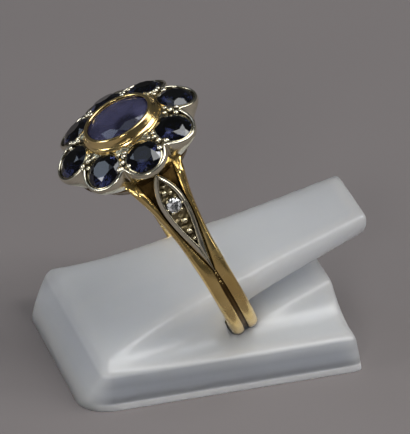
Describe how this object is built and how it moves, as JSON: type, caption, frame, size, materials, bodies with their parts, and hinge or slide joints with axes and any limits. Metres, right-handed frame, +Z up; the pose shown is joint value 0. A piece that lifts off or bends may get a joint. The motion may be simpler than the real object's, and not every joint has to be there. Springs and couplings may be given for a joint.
{
  "type": "cluster ring on display stand",
  "caption": "Two-colour gold cluster ring with an oval centre sapphire, a ring of round sapphires and diamond-set leaf shoulders, standing in a plain frosted tongue stand.",
  "frame": {"origin": "under the middle of the whole, on the flat bottom of the stand's foot", "axes": "+Z up, +X along the stand towards the tip of its tongue, Y across the stand; the ring leans 26 degrees towards -X"},
  "size_m": [0.0274, 0.0196, 0.0245],
  "materials": {
    "yellow_gold": "worn polished yellow gold",
    "white_gold": "worn polished white gold, slightly warm",
    "light_sapphire": "faceted, cut oval, lilac blue",
    "dark_sapphire": "faceted, cut round, dark blue",
    "diamond": "faceted, cut round, clear",
    "frosted_acrylic": "frosted translucent moulded acrylic"
  },
  "bodies": {
    "root": {"shank": "yellow_gold", "cluster_setting": "white_gold", "center_collet": "yellow_gold", "center_sapphire": "light_sapphire", "sapphire_1": "dark_sapphire", "sapphire_2": "dark_sapphire", "sapphire_3": "dark_sapphire", "sapphire_4": "dark_sapphire", "sapphire_5": "dark_sapphire", "sapphire_6": "dark_sapphire", "sapphire_7": "dark_sapphire", "sapphire_8": "dark_sapphire", "shoulder_panel_front": "white_gold", "shoulder_panel_back": "white_gold", "diamond_front": "diamond", "diamond_back": "diamond", "display_stand": "frosted_acrylic"}
  },
  "joints": []
}
